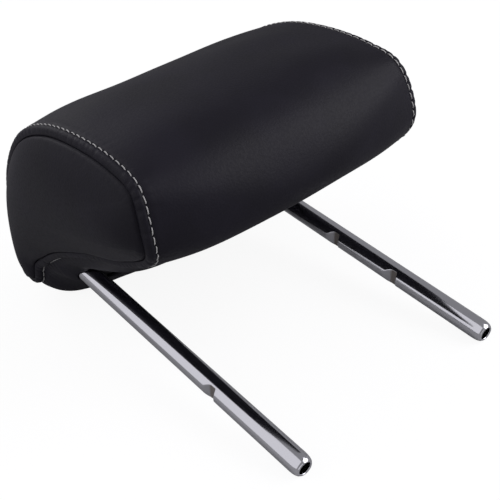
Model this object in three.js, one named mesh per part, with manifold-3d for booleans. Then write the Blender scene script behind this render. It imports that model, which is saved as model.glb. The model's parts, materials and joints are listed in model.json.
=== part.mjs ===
// A car headrest of the comma kind: a leather cushion that hangs forward and down from the tops of two
// chromed tube posts. It lies on its post tips and the heel of its cushion. Millimetres, +Z up.
//
// The parts are built in the frame of the posts: x runs across the headrest, y along the posts from their
// tips to the cushion, and z away from the plane of the posts. The last lines turn and lift the whole
// headrest so that it rests on z = 0.
import * as THREE from "three";
import { mergeVertices } from "three/addons/utils/BufferGeometryUtils.js";
import Module from "manifold-3d";

const wasm = await Module();
wasm.setup();

// Posts and frame tube
const POST_SPACING = 155.5;
const TUBE_RADIUS = 7;
const BORE_RADIUS = 5;
const TUBE_SIDES = 20;
const TIP_TAPER = 7;
const TIP_RADIUS = 5.4;
const TIP_BORE_RADIUS = 4.1;
const BEND_RADIUS = 21;
const BEND_STEPS = 7;
const HAIRPIN_Y = 238;
const HAIRPIN_TURN = THREE.MathUtils.degToRad(141);
const ARM_LENGTH = 96;

// Height notches, pressed into the outer side of the left post and the inner side of the right one
const NOTCH_DEPTH = 3.5;
const NOTCH_FLOOR = 5;
const NOTCH_RAMP = 5;
const NOTCH_SHOULDER = 1.2;
const NOTCH_WALL = 1.6;
const LEFT_NOTCHES = [76.5];
const RIGHT_NOTCHES = [75, 130];

// Cushion outline at the topstitch, seen from the end: [y, z] from the top of the rear, over the top and
// the front lip, back along the underside to the heel. The second outline is that of the middle of the
// cushion, point for point: the lip bows forward there and the underside hangs down as a belly.
const END_OUTLINE = [
  [290, 17], [276, 67], [244, 111.5], [208, 134], [170, 144.7], [129.7, 148], [106, 143.7], [94, 119.3],
  [94, 104], [127.6, 75.2], [174, 52], [222, 22.6], [242.5, 5.3], [258.6, -10], [266, -29], [280, -34],
  [291.5, -19],
];
const MIDDLE_OUTLINE = [
  [292, 18], [278, 69.5], [247.3, 113.3], [208.8, 135.5], [168.5, 147.8], [124.2, 153.4], [97.5, 143],
  [80, 116.3], [83.5, 101.3], [120.8, 72.6], [158.5, 33.5], [202, -4.3], [223, -21.8], [240, -36.5],
  [260, -46.5], [276.5, -43], [289.3, -24],
];
const STITCH_HALF_WIDTH = 93.5;
const LIP_EXTRA_WIDTH = 5;
const LIP_CENTRE = [92, 116];
const LIP_REACH = 31;

// How squarely the cover spans from the middle outline to the topstitch: the power of the curve between
const TOP_SQUARENESS = 4;
const LIP_SQUARENESS = 2;
const UNDERSIDE_SQUARENESS = 6.3;
const UNDERSIDE_NORMAL = new THREE.Vector3(0, -0.87, -0.5);

const BORDER_WIDTH = 4.5;
const BORDER_DROP = 4.5;
const CROWN = 16;
const CROWN_REACH = 42;
const CROWN_STEEPNESS = 2;
const SEAM_GAP = 0.4;
const LEATHER = 1.6;
const PAD_CLEARANCE = 1.6;
const AROUND = 72;

// Plastic core in the plane of the arms: its middle lies this far along the arms
const CORE_MIDDLE = 79;
const CORE_WIDTH = 176;
const CORE_LENGTH = 98;
const CORE_HALF_THICKNESS = 12;
const CORE_CORNER = 12;
const POCKET_WIDTH = 36;
const POCKET_LENGTH = 26;
const POCKET_DEPTH = 8;
const POCKET_X = 22;
const POCKET_OFFSET = 17;
const SCREW_X = 52;
const SCREW_OFFSET = 24;
const SCREW_HEAD_RADIUS = 4;
const SCREW_HEAD = 3;
const SCREW_RADIUS = 2;
const SCREW_LENGTH = 15;
const SCREW_POINT = 2;
const SCREW_POINT_RADIUS = 0.6;
const SCREW_SIDES = 16;
const SCREW_SUNK = 4;

// Closing strips under the cushion, between the posts
const CLOSURE_PLACE = [181.6, 15.6];
const CLOSURE_TILT = THREE.MathUtils.degToRad(-41.1);
const CLOSURE_LENGTH = 118;
const CLOSURE_SLIT = 2;
const SLIT_END_PLAY = 2;
const GROOVE_LENGTH = 124;
const GROOVE_WIDTH = 10.5;
const GROOVE_DEPTH = 14;
const HOOK_SECTION = [
  [-4, -2.4], [-2.5, -2.4], [-2.5, -8.5], [0.2, -8.5], [0.2, -6.8], [1.5, -6.8], [1.5, -10], [-4, -10],
];
const CATCH_SECTION = [
  [4, -2.4], [4, -6.3], [-0.4, -6.3], [-0.4, -8.1], [-1.9, -8.1], [-1.9, -4.8], [2.5, -4.8], [2.5, -2.4],
];

// Slots in the cover and the pad where the posts come out, longer towards the middle of the cushion
const SLOT_RADIUS = 8.5;
const SLOT_REACH = 10;
const SLOT_START = 168;
const SLOT_LENGTH = 84;

const THREAD_RADIUS = 0.45;
const THREAD_SIDES = 6;
const THREAD_LIFT = 0.8;
const THREAD_SHIFT = 0.9;
const PLAY = 0.3;

// How far a cutting body reaches past the face that it opens
const CUT_THROUGH = 2;

const LEATHER_BLACK = new THREE.MeshStandardMaterial({ color: 0x222126, roughness: 0.5, metalness: 0 });
const THREAD_WHITE = new THREE.MeshStandardMaterial({ color: 0xe4e2dc, roughness: 0.8, metalness: 0 });
const CHROME = new THREE.MeshStandardMaterial({ color: 0xd8d8da, roughness: 0.08, metalness: 1 });
const FOAM_GREY = new THREE.MeshStandardMaterial({ color: 0x5a5a5c, roughness: 1, metalness: 0 });
const PLASTIC_BLACK = new THREE.MeshStandardMaterial({ color: 0x1c1c1e, roughness: 0.6, metalness: 0 });
const ZINC = new THREE.MeshStandardMaterial({ color: 0xb9bab8, roughness: 0.4, metalness: 1 });

// A closed body from rings of points that follow each other. A ring of one point is a pole. With loop true
// the last ring is joined to the first, as round a tube with a bore.
function ringGeometry(rings, loop = false) {
  const positions = [];
  const starts = rings.map((ring) => {
    const start = positions.length / 3;
    ring.forEach((p) => positions.push(p.x, p.y, p.z));
    return start;
  });
  const faces = [];
  const pairs = loop ? rings.length : rings.length - 1;
  for (let r = 0; r < pairs; r++) {
    const s = (r + 1) % rings.length;
    const count = Math.max(rings[r].length, rings[s].length);
    for (let i = 0; i < count; i++) {
      const a = starts[r] + (i % rings[r].length);
      const b = starts[r] + ((i + 1) % rings[r].length);
      const c = starts[s] + ((i + 1) % rings[s].length);
      const d = starts[s] + (i % rings[s].length);
      if (a !== b) faces.push(a, b, c);
      if (c !== d) faces.push(a, c, d);
    }
  }
  const geometry = new THREE.BufferGeometry();
  geometry.setAttribute("position", new THREE.Float32BufferAttribute(positions, 3));
  geometry.setIndex(faces);
  return geometry;
}

// A closed geometry as a solid that can be joined and cut; a body built inside out is turned round
function solidOf(geometry) {
  const bare = geometry.clone();
  bare.deleteAttribute("normal");
  bare.deleteAttribute("uv");
  const merged = mergeVertices(bare, 1e-4);
  const index = Uint32Array.from(merged.index.array);
  const build = () => new wasm.Manifold(
    new wasm.Mesh({ numProp: 3, vertProperties: merged.attributes.position.array, triVerts: index }),
  );
  const solid = build();
  if (solid.volume() > 0) return solid;
  for (let i = 0; i < index.length; i += 3) [index[i + 1], index[i + 2]] = [index[i + 2], index[i + 1]];
  return build();
}

// A solid back as a geometry for a mesh
function geometryOf(solid) {
  const { vertProperties, triVerts, numProp, numVert } = solid.getMesh();
  const positions = new Float32Array(numVert * 3);
  for (let i = 0; i < numVert; i++) {
    positions.set(vertProperties.subarray(i * numProp, i * numProp + 3), i * 3);
  }
  const geometry = new THREE.BufferGeometry();
  geometry.setAttribute("position", new THREE.BufferAttribute(positions, 3));
  geometry.setIndex(new THREE.BufferAttribute(triVerts, 1));
  return geometry;
}

function meshOf(name, solid, material) {
  const geometry = geometryOf(solid);
  geometry.computeVertexNormals();
  const mesh = new THREE.Mesh(geometry, material);
  mesh.name = name;
  return mesh;
}

function boxSolid(width, length, height, x = 0, y = 0, z = 0) {
  return solidOf(new THREE.BoxGeometry(width, length, height).translate(x, y, z));
}

// Frame tube

// The left half of the tube's centre line, from the post tip to the middle of the cross-bar
function frameHalfPath() {
  const x = -POST_SPACING / 2;
  const path = [];
  const straight = [0, 1.5, 3.5, TIP_TAPER, 40, 120, HAIRPIN_Y];
  straight.forEach((y) => {
    path.push({ point: new THREE.Vector3(x, y, 0), taper: Math.min(1, y / TIP_TAPER) });
  });
  const centre = new THREE.Vector3(x, HAIRPIN_Y, BEND_RADIUS);
  for (let i = 1; i <= 2 * BEND_STEPS; i++) {
    const turn = (HAIRPIN_TURN * i) / (2 * BEND_STEPS);
    const radial = new THREE.Vector3(0, Math.sin(turn), -Math.cos(turn));
    path.push({ point: radial.multiplyScalar(BEND_RADIUS).add(centre), taper: 1 });
  }
  const arm = armDirection();
  const elbow = path[path.length - 1].point.clone().addScaledVector(arm, ARM_LENGTH);
  const inward = new THREE.Vector3(1, 0, 0);
  const bendCentre = elbow.clone().addScaledVector(inward, BEND_RADIUS);
  for (let i = 0; i <= BEND_STEPS; i++) {
    const turn = (Math.PI / 2) * (i / BEND_STEPS);
    const point = bendCentre.clone();
    point.addScaledVector(inward, -Math.cos(turn) * BEND_RADIUS);
    point.addScaledVector(arm, Math.sin(turn) * BEND_RADIUS);
    path.push({ point, taper: 1 });
  }
  return path;
}

function armDirection() {
  return new THREE.Vector3(0, Math.cos(HAIRPIN_TURN), Math.sin(HAIRPIN_TURN));
}

// Rings of a round section carried along the tube's whole centre line
function tubeRings(radiusAt, tipReach) {
  const half = frameHalfPath();
  const mirrored = half.map(({ point, taper }) => ({ point: point.clone().setX(-point.x), taper })).reverse();
  const path = [...half, ...mirrored];
  path[0].point.y -= tipReach;
  path[path.length - 1].point.y -= tipReach;
  let normal = new THREE.Vector3(0, 0, 1);
  return path.map(({ point, taper }, i) => {
    const before = path[Math.max(i - 1, 0)].point;
    const after = path[Math.min(i + 1, path.length - 1)].point;
    const along = new THREE.Vector3().subVectors(after, before).normalize();
    normal = normal.clone().addScaledVector(along, -normal.dot(along)).normalize();
    const side = new THREE.Vector3().crossVectors(along, normal);
    const radius = radiusAt(taper);
    return Array.from({ length: TUBE_SIDES }, (_, k) => {
      const angle = (2 * Math.PI * k) / TUBE_SIDES;
      return point.clone()
        .addScaledVector(normal, Math.cos(angle) * radius)
        .addScaledVector(side, Math.sin(angle) * radius);
    });
  });
}

function roundedTaper(taper, full, end) {
  return end + (full - end) * Math.sqrt(1 - (1 - taper) ** 2);
}

function tubeSolid(radiusAt, tipReach) {
  const rings = tubeRings(radiusAt, tipReach);
  const middle = (ring) => {
    const total = ring.reduce((sum, p) => sum.add(p), new THREE.Vector3());
    return [total.divideScalar(ring.length)];
  };
  return solidOf(ringGeometry([middle(rings[0]), ...rings, middle(rings[rings.length - 1])]));
}

// The wedge that a notch takes from a post, from its outer side: a flat floor, a steep shoulder towards the
// tip and a ramp towards the cushion. grow moves every face into the metal.
function notchCutter(x, y, grow) {
  const floor = TUBE_RADIUS - NOTCH_DEPTH - grow;
  const outside = TUBE_RADIUS + CUT_THROUGH;
  const slope = (outside - floor) / (NOTCH_DEPTH + grow);
  const shape = new THREE.Shape();
  shape.moveTo(-floor, -NOTCH_FLOOR / 2 - grow);
  shape.lineTo(-outside, -NOTCH_FLOOR / 2 - grow - NOTCH_SHOULDER * slope);
  shape.lineTo(-outside, NOTCH_FLOOR / 2 + grow + NOTCH_RAMP * slope);
  shape.lineTo(-floor, NOTCH_FLOOR / 2 + grow);
  const wedge = new THREE.ExtrudeGeometry(shape, { depth: 4 * TUBE_RADIUS, bevelEnabled: false });
  return solidOf(wedge.translate(x, y, -2 * TUBE_RADIUS));
}

function postFrame() {
  const outer = tubeSolid((taper) => roundedTaper(taper, TUBE_RADIUS, TIP_RADIUS), 0);
  let bore = tubeSolid((taper) => roundedTaper(taper, BORE_RADIUS, TIP_BORE_RADIUS), 1);
  let tube = outer;
  const places = [
    ...LEFT_NOTCHES.map((y) => [-POST_SPACING / 2, y]),
    ...RIGHT_NOTCHES.map((y) => [POST_SPACING / 2, y]),
  ];
  for (const [x, y] of places) {
    bore = bore.subtract(notchCutter(x, y, NOTCH_WALL));
    tube = tube.subtract(notchCutter(x, y, 0));
  }
  return tube.subtract(bore);
}

// Cushion surface

function closedCurve(points) {
  return new THREE.CatmullRomCurve3(points.map(([y, z]) => new THREE.Vector3(0, y, z)), true, "centripetal");
}

// Outward normals of a closed ring, square to it in the plane of y and z
function ringNormals(ring) {
  return ring.map((_, i) => {
    const after = ring[(i + 1) % AROUND];
    const before = ring[(i + AROUND - 1) % AROUND];
    const along = new THREE.Vector3().subVectors(after, before).setX(0).normalize();
    return new THREE.Vector3(0, along.z, -along.y);
  });
}

// Even stations along the end outline, and the points of the middle outline that belong to them
const outline = closedCurve(END_OUTLINE);
const middleOutline = closedCurve(MIDDLE_OUTLINE);
const stations = Array.from({ length: AROUND }, (_, i) => outline.getUtoTmapping(i / AROUND));
const outlinePoints = stations.map((t) => outline.getPoint(t));
const middlePoints = stations.map((t) => middleOutline.getPoint(t));
const outlineNormals = ringNormals(outlinePoints);

// A place inside the outline from which all of it can be seen
const outlineCentre = new THREE.Vector3(0, 256, 52);

// How much a point of the outline belongs to the front lip, from 0 to 1
function lipWeight(p) {
  return Math.exp(-(((p.y - LIP_CENTRE[0]) ** 2 + (p.z - LIP_CENTRE[1]) ** 2) / LIP_REACH ** 2));
}

function stitchHalfWidth(p) {
  return STITCH_HALF_WIDTH + LIP_EXTRA_WIDTH * lipWeight(p);
}

// The squareness of the cover at each station: the underside's where the normal points down and to the
// post tips, the lip's at the front lip, and the top's elsewhere
const squareness = outlinePoints.map((p, i) => {
  const lip = lipWeight(p);
  const facing = outlineNormals[i].dot(UNDERSIDE_NORMAL);
  const underside = THREE.MathUtils.smoothstep(facing, 0.1, 0.6) * (1 - lip);
  return TOP_SQUARENESS
    + (LIP_SQUARENESS - TOP_SQUARENESS) * lip
    + (UNDERSIDE_SQUARENESS - TOP_SQUARENESS) * underside;
});

// One ring of the centre panel at a share s of the way from its middle (0) to a stitch line (1 or -1)
function panelRing(s, inset = 0) {
  const ring = outlinePoints.map((p, i) => {
    const span = 1 - Math.abs(s) ** squareness[i];
    return p.clone().lerp(middlePoints[i], span).setX(s * stitchHalfWidth(p));
  });
  const normals = ringNormals(ring);
  return ring.map((p, i) => p.addScaledVector(normals[i], -inset));
}

// One ring of the sewn border, which rolls from the stitch line down into the seam: roll goes from 0 at the
// stitches to a quarter turn at the seam
function borderRing(side, roll, inset = 0) {
  return outlinePoints.map((p, i) => {
    const out = (BORDER_WIDTH - inset) * Math.sin(roll);
    const down = BORDER_DROP * (1 - Math.cos(roll)) + inset * Math.cos(roll);
    const x = side * (stitchHalfWidth(p) + out);
    return new THREE.Vector3(x, p.y, p.z).addScaledVector(outlineNormals[i], -down);
  });
}

// How far a point of an end panel lies inside the topstitch outline, seen along x
function insideDistance(point) {
  const flat = point.clone().setX(0);
  const nearest = new THREE.Vector3();
  const edge = new THREE.Line3();
  const distances = outlinePoints.map((p, i) => {
    edge.set(p, outlinePoints[(i + 1) % AROUND]).closestPointToPoint(flat, true, nearest);
    return nearest.distanceTo(flat);
  });
  return Math.min(...distances);
}

// One ring of an end panel at a share r of the way from its middle (0) to the seam (1). The crown rises
// with the distance from the seam and levels out where CROWN_REACH is reached.
function endRing(side, r, inset = 0) {
  const middleHalfWidth = STITCH_HALF_WIDTH + BORDER_WIDTH;
  return borderRing(side, Math.PI / 2).map((seam, i) => {
    const edge = seam.clone().addScaledVector(outlineNormals[i], -inset);
    const point = outlineCentre.clone().lerp(edge, r);
    const share = THREE.MathUtils.clamp((insideDistance(point) - BORDER_DROP) / CROWN_REACH, 0, 1);
    const own = THREE.MathUtils.lerp(middleHalfWidth, Math.abs(seam.x), r);
    point.x = side * (own + SEAM_GAP + CROWN * (1 - (1 - share) ** CROWN_STEEPNESS) - inset);
    return point;
  });
}

const PANEL_SHARES = [-1, -0.92, -0.82, -0.66, -0.4, 0, 0.4, 0.66, 0.82, 0.92, 1];
const ROLLS = [Math.PI / 2, Math.PI / 3, Math.PI / 6];
const END_SHARES = [1, 0.93, 0.8, 0.6, 0.35];

// Rings of the wrapped strip from the left seam to the right one, moved inwards by inset
function stripRings(inset) {
  return [
    ...ROLLS.map((roll) => borderRing(-1, roll, inset)),
    ...PANEL_SHARES.map((share) => panelRing(share, inset)),
    ...[...ROLLS].reverse().map((roll) => borderRing(1, roll, inset)),
  ];
}

function endPole(side, inset) {
  return [endRing(side, 0, inset)[0]];
}

function slotSolid(side) {
  const shape = new THREE.Shape();
  const inward = -side * SLOT_REACH;
  shape.absarc(Math.min(0, inward), 0, SLOT_RADIUS, Math.PI / 2, 1.5 * Math.PI);
  shape.absarc(Math.max(0, inward), 0, SLOT_RADIUS, -Math.PI / 2, Math.PI / 2);
  const settings = { depth: SLOT_LENGTH, bevelEnabled: false, curveSegments: 10 };
  const slot = new THREE.ExtrudeGeometry(shape, settings);
  slot.rotateX(Math.PI / 2).translate((side * POST_SPACING) / 2, SLOT_START + SLOT_LENGTH, 0);
  return solidOf(slot);
}

function centrePanel() {
  const shell = solidOf(ringGeometry([...stripRings(0), ...stripRings(LEATHER).reverse()], true));
  const slit = new THREE.BoxGeometry(CLOSURE_LENGTH + SLIT_END_PLAY, CLOSURE_SLIT, GROOVE_WIDTH);
  return shell.subtract(slotSolid(-1)).subtract(slotSolid(1)).subtract(closureFrame(slit));
}

function endPanel(side) {
  const outer = END_SHARES.map((share) => endRing(side, share));
  const inner = END_SHARES.map((share) => endRing(side, share, LEATHER)).reverse();
  return solidOf(ringGeometry([endPole(side, LEATHER), ...inner, ...outer, endPole(side, 0)]));
}

function foamPad() {
  const inset = LEATHER + PAD_CLEARANCE;
  const left = END_SHARES.map((share) => endRing(-1, share, inset)).reverse();
  const right = END_SHARES.map((share) => endRing(1, share, inset));
  const body = solidOf(ringGeometry([
    endPole(-1, inset), ...left, ...stripRings(inset), ...right, endPole(1, inset),
  ]));
  const tube = tubeSolid(() => TUBE_RADIUS + PAD_CLEARANCE, 1);
  const groove = new THREE.BoxGeometry(GROOVE_LENGTH, GROOVE_WIDTH, GROOVE_DEPTH);
  groove.translate(0, 0, CUT_THROUGH - GROOVE_DEPTH / 2);
  return body
    .subtract(tube)
    .subtract(slotSolid(-1))
    .subtract(slotSolid(1))
    .subtract(coreFrame(coreSlab(-CORE_HALF_THICKNESS, CORE_HALF_THICKNESS, PAD_CLEARANCE)))
    .subtract(closureFrame(groove));
}

// Thread of the topstitch, one closed turn round an end just above the leather, beside the rise of the panel
function topstitch(side) {
  const turn = panelRing(side);
  const rings = turn.map((p, i) => {
    const centre = p.clone().addScaledVector(outlineNormals[i], THREAD_LIFT);
    centre.x += side * THREAD_SHIFT;
    return Array.from({ length: THREAD_SIDES }, (_, k) => {
      const angle = (2 * Math.PI * k) / THREAD_SIDES;
      return centre.clone()
        .addScaledVector(outlineNormals[i], Math.cos(angle) * THREAD_RADIUS)
        .add(new THREE.Vector3(Math.sin(angle) * THREAD_RADIUS, 0, 0));
    });
  });
  return solidOf(ringGeometry(rings, true));
}

// Plastic core, drawn in the plane of the arms with y along them

// Moves a geometry from the plane of the arms to its place between them
function coreFrame(geometry) {
  const armStart = new THREE.Vector3(0, Math.sin(HAIRPIN_TURN), 1 - Math.cos(HAIRPIN_TURN));
  armStart.multiplyScalar(BEND_RADIUS).add(new THREE.Vector3(0, HAIRPIN_Y, 0));
  const placed = geometry.clone().rotateX(HAIRPIN_TURN);
  return solidOf(placed.translate(armStart.x, armStart.y, armStart.z));
}

function coreSlab(from, to, grow) {
  const w = CORE_WIDTH / 2 + grow;
  const low = CORE_MIDDLE - CORE_LENGTH / 2 - grow;
  const high = CORE_MIDDLE + CORE_LENGTH / 2 + grow;
  const shape = new THREE.Shape();
  shape.moveTo(-w + CORE_CORNER, low);
  shape.lineTo(w - CORE_CORNER, low);
  shape.absarc(w - CORE_CORNER, low + CORE_CORNER, CORE_CORNER, -Math.PI / 2, 0);
  shape.absarc(w - CORE_CORNER, high - CORE_CORNER, CORE_CORNER, 0, Math.PI / 2);
  shape.absarc(-w + CORE_CORNER, high - CORE_CORNER, CORE_CORNER, Math.PI / 2, Math.PI);
  shape.absarc(-w + CORE_CORNER, low + CORE_CORNER, CORE_CORNER, Math.PI, 1.5 * Math.PI);
  const depth = to - from + 2 * grow;
  const slab = new THREE.ExtrudeGeometry(shape, { depth, bevelEnabled: false, curveSegments: 5 });
  return slab.translate(0, 0, from - grow);
}

const screwPlaces = [
  [-SCREW_X, CORE_MIDDLE - SCREW_OFFSET],
  [SCREW_X, CORE_MIDDLE - SCREW_OFFSET],
  [-SCREW_X, CORE_MIDDLE + SCREW_OFFSET],
  [SCREW_X, CORE_MIDDLE + SCREW_OFFSET],
];

// A screw, or the hole for it when play is over 0, with its head in the front half
function screwGeometry(play) {
  const seat = -CORE_HALF_THICKNESS + SCREW_SUNK - PLAY;
  const top = play > 0 ? seat - SCREW_SUNK - CUT_THROUGH : seat - SCREW_HEAD;
  const profile = [
    [0, top],
    [SCREW_HEAD_RADIUS + play, top],
    [SCREW_HEAD_RADIUS + play, seat + play],
    [SCREW_RADIUS + play, seat + play],
    [SCREW_RADIUS + play, seat + SCREW_LENGTH - SCREW_POINT],
    [SCREW_POINT_RADIUS + play, seat + SCREW_LENGTH + play],
    [0, seat + SCREW_LENGTH + play],
  ].map(([radius, height]) => new THREE.Vector2(radius, height));
  return new THREE.LatheGeometry(profile, SCREW_SIDES).rotateX(Math.PI / 2);
}

// A core half between two heights over the plane of the arms, with its pockets open on the outer side
function coreHalf(side) {
  const near = PLAY / 2;
  const slab = side > 0
    ? coreSlab(near, CORE_HALF_THICKNESS, 0)
    : coreSlab(-CORE_HALF_THICKNESS, -near, 0);
  let half = coreFrame(slab).subtract(tubeSolid(() => TUBE_RADIUS + PLAY, 1));
  for (const x of [-POCKET_X, POCKET_X]) {
    for (const y of [CORE_MIDDLE - POCKET_OFFSET, CORE_MIDDLE + POCKET_OFFSET]) {
      const pocket = new THREE.BoxGeometry(POCKET_WIDTH, POCKET_LENGTH, 2 * POCKET_DEPTH);
      half = half.subtract(coreFrame(pocket.translate(x, y, side * CORE_HALF_THICKNESS)));
    }
  }
  for (const [x, y] of screwPlaces) {
    half = half.subtract(coreFrame(screwGeometry(PLAY).translate(x, y, 0)));
  }
  return half;
}

// Closing strips, drawn with z out of the underside

function closureFrame(geometry) {
  const outward = Math.PI;
  const placed = geometry.clone().rotateX(outward + CLOSURE_TILT);
  return solidOf(placed.translate(0, ...CLOSURE_PLACE));
}

function closureStrip(section) {
  const shape = new THREE.Shape(section.map(([y, z]) => new THREE.Vector2(y, z)));
  const strip = new THREE.ExtrudeGeometry(shape, { depth: CLOSURE_LENGTH, bevelEnabled: false });
  strip.translate(0, 0, -CLOSURE_LENGTH / 2);
  strip.applyMatrix4(new THREE.Matrix4().makeBasis(
    new THREE.Vector3(0, 1, 0), new THREE.Vector3(0, 0, 1), new THREE.Vector3(1, 0, 0),
  ));
  return closureFrame(strip);
}

// The headrest, built in the frame of the posts

const headrest = new THREE.Group();
headrest.add(
  meshOf("post_frame", postFrame(), CHROME),
  meshOf("core_front_shell", coreHalf(-1), PLASTIC_BLACK),
  meshOf("core_rear_shell", coreHalf(1), PLASTIC_BLACK),
  meshOf("foam_pad", foamPad(), FOAM_GREY),
  meshOf("cover_centre_panel", centrePanel(), LEATHER_BLACK),
  meshOf("cover_end_panel_left", endPanel(-1), LEATHER_BLACK),
  meshOf("cover_end_panel_right", endPanel(1), LEATHER_BLACK),
  meshOf("topstitch_left", topstitch(-1), THREAD_WHITE),
  meshOf("topstitch_right", topstitch(1), THREAD_WHITE),
  meshOf("closure_hook_strip", closureStrip(HOOK_SECTION), PLASTIC_BLACK),
  meshOf("closure_catch_strip", closureStrip(CATCH_SECTION), PLASTIC_BLACK),
);
screwPlaces.forEach(([x, y], i) => {
  const screw = coreFrame(screwGeometry(0).translate(x, y, 0));
  headrest.add(meshOf(`core_screw_${i + 1}`, screw, ZINC));
});

// The angle at which a line from the foot of the post tips just touches the heel of the cushion
const heel = panelRing(0).filter((p) => p.y > HAIRPIN_Y);
const restTilt = Math.max(...heel.map((p) => Math.atan2(-TUBE_RADIUS - p.z, p.y - TIP_TAPER)));
headrest.rotation.x = restTilt;

// Middle of the footprint over the origin, lowest point on z = 0
const posed = new THREE.Group();
posed.add(headrest);
const bounds = new THREE.Box3().setFromObject(posed, true);
headrest.position.set(
  -(bounds.min.x + bounds.max.x) / 2,
  -(bounds.min.y + bounds.max.y) / 2,
  -bounds.min.z,
);

export default posed;
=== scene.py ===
"""A car headrest of the comma kind: a black leather cushion with white topstitch on two chromed posts.

Shapes are worked out in the frame of the posts: x runs across the headrest, y along the posts from their
tips to the cushion, and z away from the plane of the posts. place() carries them to the frame of the part.
Sizes are in metres.
"""

import json
import math

import bpy
import numpy as np
from bpy.props import FloatProperty, FloatVectorProperty, PointerProperty
from mathutils import Euler, Matrix


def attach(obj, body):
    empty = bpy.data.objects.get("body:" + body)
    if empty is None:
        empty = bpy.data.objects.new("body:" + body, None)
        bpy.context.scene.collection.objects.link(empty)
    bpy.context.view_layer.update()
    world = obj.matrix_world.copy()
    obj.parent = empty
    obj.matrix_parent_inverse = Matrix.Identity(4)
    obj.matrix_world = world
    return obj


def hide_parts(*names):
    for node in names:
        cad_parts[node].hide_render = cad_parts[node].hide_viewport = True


bl_info = {
    "name": "Car Headrest",
    "version": (1, 0, 0),
    "blender": (4, 5, 0),
    "location": "3D View > Sidebar > Headrest",
    "description": "Builds a stitched leather headrest on two chromed posts",
    "category": "Add Mesh",
}

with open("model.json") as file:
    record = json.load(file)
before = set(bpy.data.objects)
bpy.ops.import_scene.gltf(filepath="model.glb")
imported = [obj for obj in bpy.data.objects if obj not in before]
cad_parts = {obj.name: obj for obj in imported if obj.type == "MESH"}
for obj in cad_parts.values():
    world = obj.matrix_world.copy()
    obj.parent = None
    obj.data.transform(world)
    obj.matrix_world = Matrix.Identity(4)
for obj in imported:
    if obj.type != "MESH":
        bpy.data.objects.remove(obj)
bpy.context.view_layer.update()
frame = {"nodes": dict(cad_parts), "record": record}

MM = 0.001
TAU = 2 * math.pi
LEFT, RIGHT = -1, 1
QUARTER = math.pi / 2

# Cushion outline at the topstitch, seen from the end: (y, z) from the top of the rear, over the top and the
# front lip, back along the underside to the heel. The second outline is that of the middle of the cushion,
# knot for knot: the lip bows forward there and the underside hangs down as a belly.
END_OUTLINE = np.array([
    (290, 17), (276, 67), (244, 111.5), (208, 134), (170, 144.7), (129.7, 148), (106, 143.7), (94, 119.3),
    (94, 104), (127.6, 75.2), (174, 52), (222, 22.6), (242.5, 5.3), (258.6, -10), (266, -29), (280, -34),
    (291.5, -19),
]) * MM
MIDDLE_OUTLINE = np.array([
    (292, 18), (278, 69.5), (247.3, 113.3), (208.8, 135.5), (168.5, 147.8), (124.2, 153.4), (97.5, 143),
    (80, 116.3), (83.5, 101.3), (120.8, 72.6), (158.5, 33.5), (202, -4.3), (223, -21.8), (240, -36.5),
    (260, -46.5), (276.5, -43), (289.3, -24),
]) * MM
OUTLINE_SMOOTHING = 2.5 * MM
LIP_CENTRE = np.array([92, 116]) * MM
LIP_REACH = 31 * MM
UNDERSIDE_WAY = np.array([-0.87, -0.5])
CROWN_CENTRE = np.array([262, 50]) * MM
RIGHT_CORNER = np.array([108, 90]) * MM
HEEL = np.array([272, -32]) * MM
HEEL_REACH = 18 * MM
LEFT_TOP = np.array([262, 92]) * MM
LEFT_TOP_REACH = 55 * MM
LEFT_TOP_SHARE = -0.6
LEFT_TOP_SHARE_REACH = 0.32
KNOT_SAMPLES = 64
AROUND = 768

# Relief beside the topstitch: how far each form reaches, and how strong it is beside its setting
NEEDLE_HOLE_REACH = 0.85 * MM
FURROW_REACH = 1.25 * MM
SHOULDER_PLACE = 3.2 * MM
SHOULDER_REACH = 1.8 * MM
SHOULDER_SHARE = 0.25
PULL_REACH = 7 * MM
PULL_START = 1.5 * MM
PULL_SHARE = 0.35
SWELL_START = 2 * MM
SWELL_FULL = 22 * MM
SEAM_TUCK_REACH = 0.45 * MM
END_PULL_PLACE = 3 * MM
END_PULL_SHARE = 0.3

# Openings of the cover and the foam
SLOT_START = 168 * MM
SLOT_END = 252 * MM
SLIT_MIDDLE = np.array([0, 181.6, 15.6]) * MM
SLIT_SIZE = np.array([120, 2, 10.5]) * MM
PAD_CLEARANCE = 1.6 * MM

# Stage: the floor is a grey matte square, and white glow takes a share of what the camera sees of it. Each
# lamp has its name, its place, its side and its power in watts.
FLOOR_GREY = (0.42, 0.42, 0.42, 1)
FLOOR_GLOW_SHARE = 0.65
FLOOR_GLOW = 1.4
WHITE = (1, 1, 1, 1)
SKY_COLOUR = (0.96, 0.95, 1, 1)
LAMP_COLOUR = (0.97, 0.96, 1.0)
LAMP_TARGET = np.array([0.0, 0.05, 0.08])
LAMPS = (
    ("key", (-1.2, 0.1, 1.15), 3.2, 15.5),
    ("fill", (1.0, -0.95, 0.9), 1.3, 14.5),
    ("rear", (-0.1, 1.3, 0.9), 1.0, 3.5),
)

# Frame tube
BORE_RADIUS = 5 * MM
BEND_RADIUS = 21 * MM
BEND_STEPS = 13
HAIRPIN_Y = 238 * MM
HAIRPIN_TURN = math.radians(141)
ARM_LENGTH = 96 * MM
TIP_CENTRE_LIFT = 4.75 * MM
LEFT_NOTCHES = (76.5 * MM,)
RIGHT_NOTCHES = (75 * MM, 130 * MM)
NOTCH_RAMP = 7.5 * MM
NOTCH_SHOULDER = 1.5 * MM
TUBE_SIDES = 84

# Finishes: how dull the chrome is, how much duller the bare metal in a notch, and its colour, and how
# much light the leather mirrors
CHROME_GLOSS = 0.09
NOTCH_GLOSS = 0.32
BARE_STEEL = (0.30, 0.27, 0.25, 1.0)
LEATHER_SPECULAR = 0.21


# Numbers

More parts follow.
